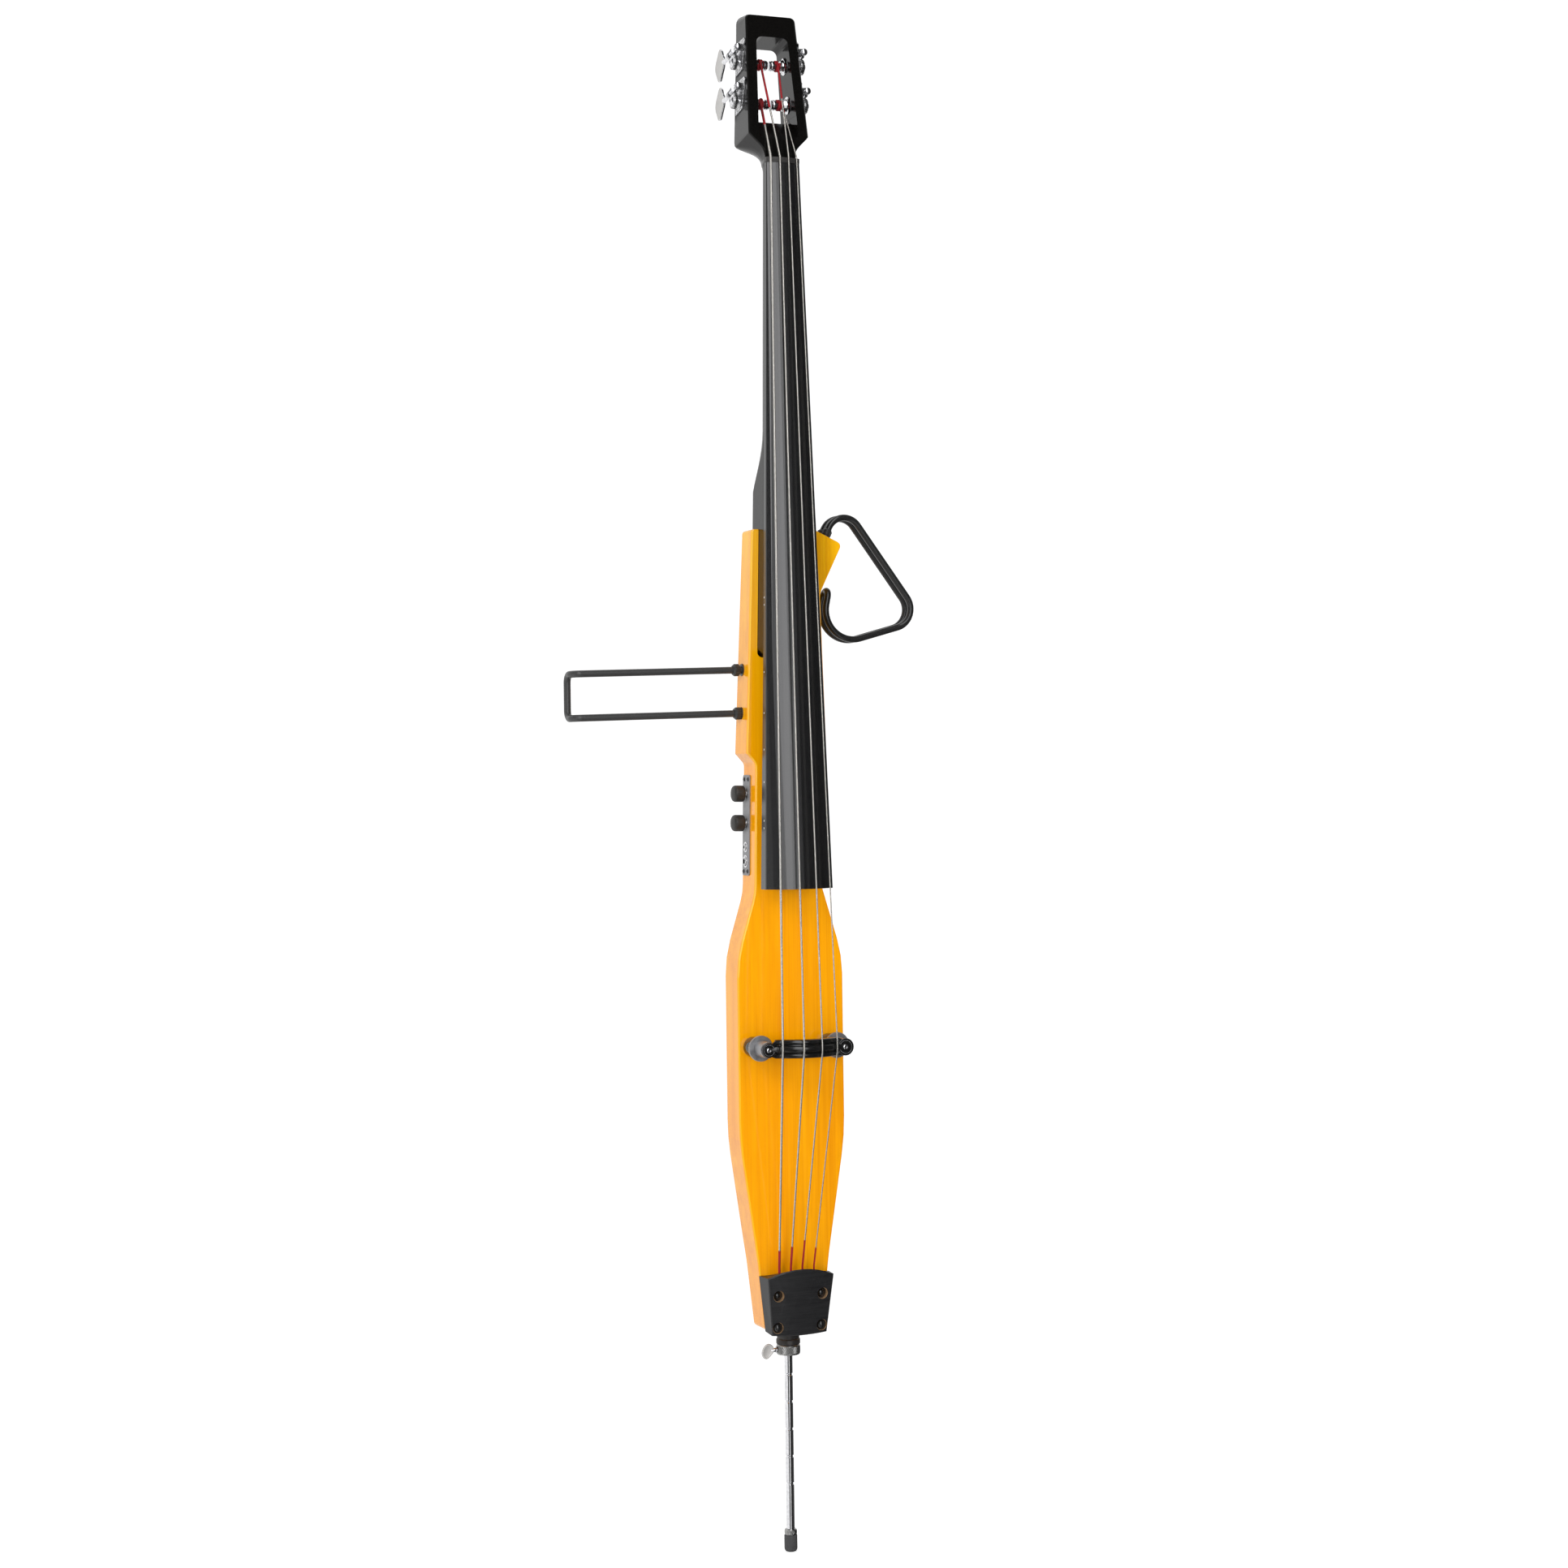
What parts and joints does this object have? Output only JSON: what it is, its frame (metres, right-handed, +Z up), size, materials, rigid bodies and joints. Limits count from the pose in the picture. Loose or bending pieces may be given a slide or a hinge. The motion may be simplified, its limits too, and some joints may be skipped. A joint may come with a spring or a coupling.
{
  "type": "electric double bass",
  "caption": "Electric double bass with a slim solid body and side horn, arched fingerboard, slotted head with worm tuners, wheel-raised bridge, pull-out rests and a sliding spike.",
  "frame": {"origin": "centre of the rubber tip's foot, on the axis of the spike", "axes": "+Z up along the spike, -Y out of the front, +X towards the highest string"},
  "size_m": [0.4354, 0.1715, 1.853],
  "materials": {
    "amber_maple": "clear gloss lacquer over figured maple",
    "black_lacquered_wood": "satin black lacquer",
    "black_fingerboard": "fine-grained matte black",
    "matte_plastic_black": "moulded, matte",
    "steel_rod": "plain steel",
    "chrome": "polished plating",
    "string_steel": "flat-wound steel",
    "black_metal": "satin black coating",
    "bridge_gloss_black": "gloss black coating",
    "pickup_strip": "foil-covered strip",
    "rubber_black": "matte",
    "grey_panel": "satin grey",
    "circuit_board": "green solder mask",
    "battery_case": "wrapped case"
  },
  "bodies": {
    "instrument": {"back_cover": "matte_plastic_black", "battery": "battery_case", "body": "amber_maple", "brace_socket_lower": "black_metal", "brace_socket_upper": "black_metal", "bridge_stud_bass": "black_metal", "bridge_stud_treble": "black_metal", "control_plate": "grey_panel", "endpin_collar": "chrome", "endpin_plug": "matte_plastic_black", "fingerboard": "black_fingerboard", "headphone_jack": "chrome", "neck": "black_lacquered_wood", "neck_bolt_1": "chrome", "neck_bolt_2": "chrome", "nut": "matte_plastic_black", "output_jack": "chrome", "preamp_board": "circuit_board", "rest_socket_back": "black_metal", "rest_socket_front": "black_metal", "string_a": "string_steel", "string_d": "string_steel", "string_e": "string_steel", "string_g": "string_steel", "tail_block": "black_metal", "tail_screw_1": "chrome", "tail_screw_2": "chrome", "tail_screw_3": "chrome", "tail_screw_4": "chrome", "truss_rod": "steel_rod", "tuner_plate_a": "chrome", "tuner_plate_d": "chrome", "tuner_plate_e": "chrome", "tuner_plate_g": "chrome"},
    "spike": {"endpin_rod": "chrome", "endpin_ferrule": "chrome", "rubber_tip": "rubber_black"},
    "thumb_screw": {"thumb_screw": "chrome"},
    "bridge": {"bridge_beam": "bridge_gloss_black", "bridge_bolt_bass": "chrome", "bridge_bolt_treble": "chrome", "bridge_pickup": "pickup_strip"},
    "bridge_wheel_bass": {"bridge_wheel_bass": "chrome"},
    "bridge_wheel_treble": {"bridge_wheel_treble": "chrome"},
    "volume_knob": {"volume_knob": "matte_plastic_black"},
    "tone_knob": {"tone_knob": "matte_plastic_black"},
    "left_brace": {"left_brace": "black_metal"},
    "brace_nut_upper": {"brace_nut_upper": "black_metal"},
    "brace_nut_lower": {"brace_nut_lower": "black_metal"},
    "body_rest": {"body_rest": "black_metal"},
    "rest_nut_front": {"rest_nut_front": "black_metal"},
    "rest_nut_back": {"rest_nut_back": "black_metal"},
    "tuner_key_e": {"tuner_key_e": "chrome"},
    "tuner_post_e": {"tuner_post_e": "chrome"},
    "tuner_key_a": {"tuner_key_a": "chrome"},
    "tuner_post_a": {"tuner_post_a": "chrome"},
    "tuner_key_d": {"tuner_key_d": "chrome"},
    "tuner_post_d": {"tuner_post_d": "chrome"},
    "tuner_key_g": {"tuner_key_g": "chrome"},
    "tuner_post_g": {"tuner_post_g": "chrome"}
  },
  "joints": [
    {"name": "spike_slide", "type": "slide", "parent": "instrument", "child": "spike", "axis": [0, 0, 1], "range_m": [-0.03, 0.2]},
    {"name": "thumb_screw_turn", "type": "hinge", "parent": "instrument", "child": "thumb_screw", "pos_m": [-0.0185, 0, 0.2437], "axis": [-1, 0, 0], "range_deg": [0, 360]},
    {"name": "bridge_lower", "type": "slide", "parent": "instrument", "child": "bridge", "axis": [0, 1, 0], "range_m": [0, 0.0025]},
    {"name": "bridge_wheel_bass_turn", "type": "hinge", "parent": "bridge", "child": "bridge_wheel_bass", "pos_m": [-0.0485, -0.047, 0.6115], "axis": [0, -1, 0], "continuous": true},
    {"name": "bridge_wheel_treble_turn", "type": "hinge", "parent": "bridge", "child": "bridge_wheel_treble", "pos_m": [0.0485, -0.047, 0.6115], "axis": [0, -1, 0], "continuous": true},
    {"name": "volume_turn", "type": "hinge", "parent": "instrument", "child": "volume_knob", "pos_m": [-0.04532, 0.0062, 0.91308], "axis": [-0.9998, 0, 0.02], "range_deg": [-150, 150]},
    {"name": "tone_turn", "type": "hinge", "parent": "instrument", "child": "tone_knob", "pos_m": [-0.04602, 0.0062, 0.87779], "axis": [-0.9998, 0, 0.02], "range_deg": [-150, 150]},
    {"name": "brace_slide", "type": "slide", "parent": "instrument", "child": "left_brace", "axis": [-0.9997, 0, -0.0244], "range_m": [-0.035, 0.012]},
    {"name": "brace_nut_upper_turn", "type": "hinge", "parent": "instrument", "child": "brace_nut_upper", "pos_m": [-0.05212, 0, 1.06139], "axis": [-0.9997, 0, -0.0244], "range_deg": [-360, 360]},
    {"name": "brace_nut_lower_turn", "type": "hinge", "parent": "instrument", "child": "brace_nut_lower", "pos_m": [-0.05108, 0, 1.00946], "axis": [-0.9997, 0, -0.0244], "range_deg": [-360, 360]},
    {"name": "rest_slide", "type": "slide", "parent": "instrument", "child": "body_rest", "axis": [0.4238, 0, 0.9058], "range_m": [0, 0.012]},
    {"name": "rest_nut_front_turn", "type": "hinge", "parent": "instrument", "child": "rest_nut_front", "pos_m": [0.05714, -0.013, 1.22325], "axis": [0.4238, 0, 0.9058], "range_deg": [-360, 360]},
    {"name": "rest_nut_back_turn", "type": "hinge", "parent": "instrument", "child": "rest_nut_back", "pos_m": [0.05714, 0.0034, 1.22325], "axis": [0.4238, 0, 0.9058], "range_deg": [-360, 360]},
    {"name": "key_e_turn", "type": "hinge", "parent": "instrument", "child": "tuner_key_e", "pos_m": [-0.04463, 0.0102, 1.7589], "axis": [0, 0.9874, -0.1582], "continuous": true},
    {"name": "post_e_turn", "type": "hinge", "parent": "instrument", "child": "tuner_post_e", "pos_m": [-0.04519, 0.00811, 1.74588], "axis": [-0.9991, 0.0068, 0.0426], "continuous": true},
    {"name": "key_a_turn", "type": "hinge", "parent": "instrument", "child": "tuner_key_a", "pos_m": [-0.04255, 0.01449, 1.8069], "axis": [0, 0.9874, -0.1582], "continuous": true},
    {"name": "post_a_turn", "type": "hinge", "parent": "instrument", "child": "tuner_post_a", "pos_m": [-0.04312, 0.0124, 1.79388], "axis": [-0.9991, 0.0068, 0.0426], "continuous": true},
    {"name": "key_d_turn", "type": "hinge", "parent": "instrument", "child": "tuner_key_d", "pos_m": [0.04255, 0.01449, 1.8069], "axis": [0, 0.9874, -0.1582], "continuous": true},
    {"name": "post_d_turn", "type": "hinge", "parent": "instrument", "child": "tuner_post_d", "pos_m": [0.04312, 0.0124, 1.79388], "axis": [0.9991, 0.0068, 0.0426], "continuous": true},
    {"name": "key_g_turn", "type": "hinge", "parent": "instrument", "child": "tuner_key_g", "pos_m": [0.04463, 0.0102, 1.7589], "axis": [0, 0.9874, -0.1582], "continuous": true},
    {"name": "post_g_turn", "type": "hinge", "parent": "instrument", "child": "tuner_post_g", "pos_m": [0.04519, 0.00811, 1.74588], "axis": [0.9991, 0.0068, 0.0426], "continuous": true}
  ],
  "couplings": [
    {"joint": "post_e_turn", "follows": "key_e_turn", "ratio": 0.05},
    {"joint": "post_a_turn", "follows": "key_a_turn", "ratio": 0.05},
    {"joint": "post_d_turn", "follows": "key_d_turn", "ratio": 0.05},
    {"joint": "post_g_turn", "follows": "key_g_turn", "ratio": 0.05}
  ]
}
